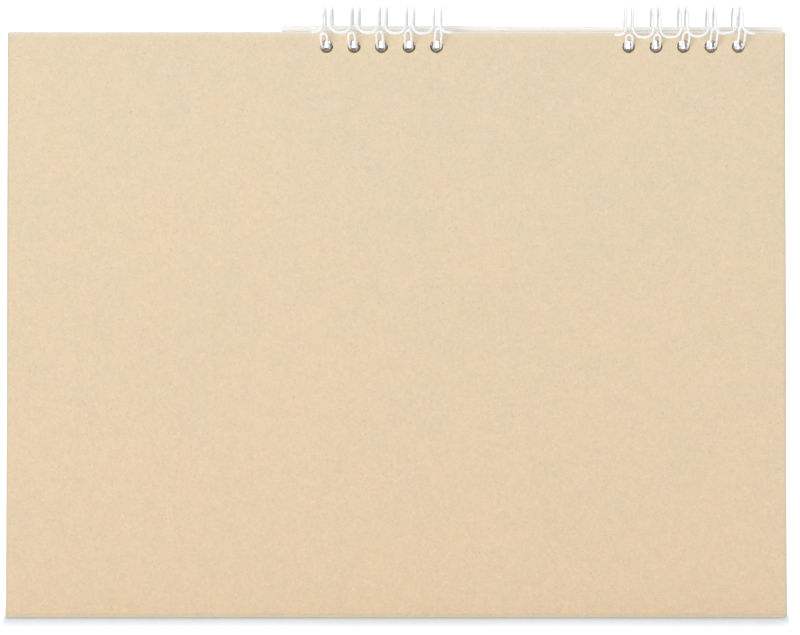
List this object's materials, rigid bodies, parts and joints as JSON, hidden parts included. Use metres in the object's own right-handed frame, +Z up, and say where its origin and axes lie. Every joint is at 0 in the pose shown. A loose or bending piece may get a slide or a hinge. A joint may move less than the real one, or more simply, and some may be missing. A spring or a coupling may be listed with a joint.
{
  "type": "desk calendar",
  "caption": "Standing desk calendar: kraft card folded into an open-ended tent, with a pad of pages that flips over the top on twin-loop binding wires.",
  "frame": {"origin": "middle of the footprint, on the table", "axes": "+Z up, +X along the card's folds, +Y out of the back panel; the pages hang on the front, towards -Y"},
  "size_m": [0.24, 0.0788, 0.1855],
  "materials": {
    "kraft_card": "matte uncoated kraft card",
    "page_paper": "matte uncoated white paper",
    "coated_wire": "glossy white nylon coating"
  },
  "bodies": {
    "stand": {"easel_stand": "kraft_card", "wire_side": "coated_wire", "wire_middle": "coated_wire"},
    "pages": {"page_block": "page_paper"}
  },
  "joints": [
    {"name": "page_flip", "type": "hinge", "parent": "stand", "child": "pages", "pos_m": [0, 0, 0.17814], "axis": [-1, 0, 0], "range_deg": [0, 210]}
  ]
}
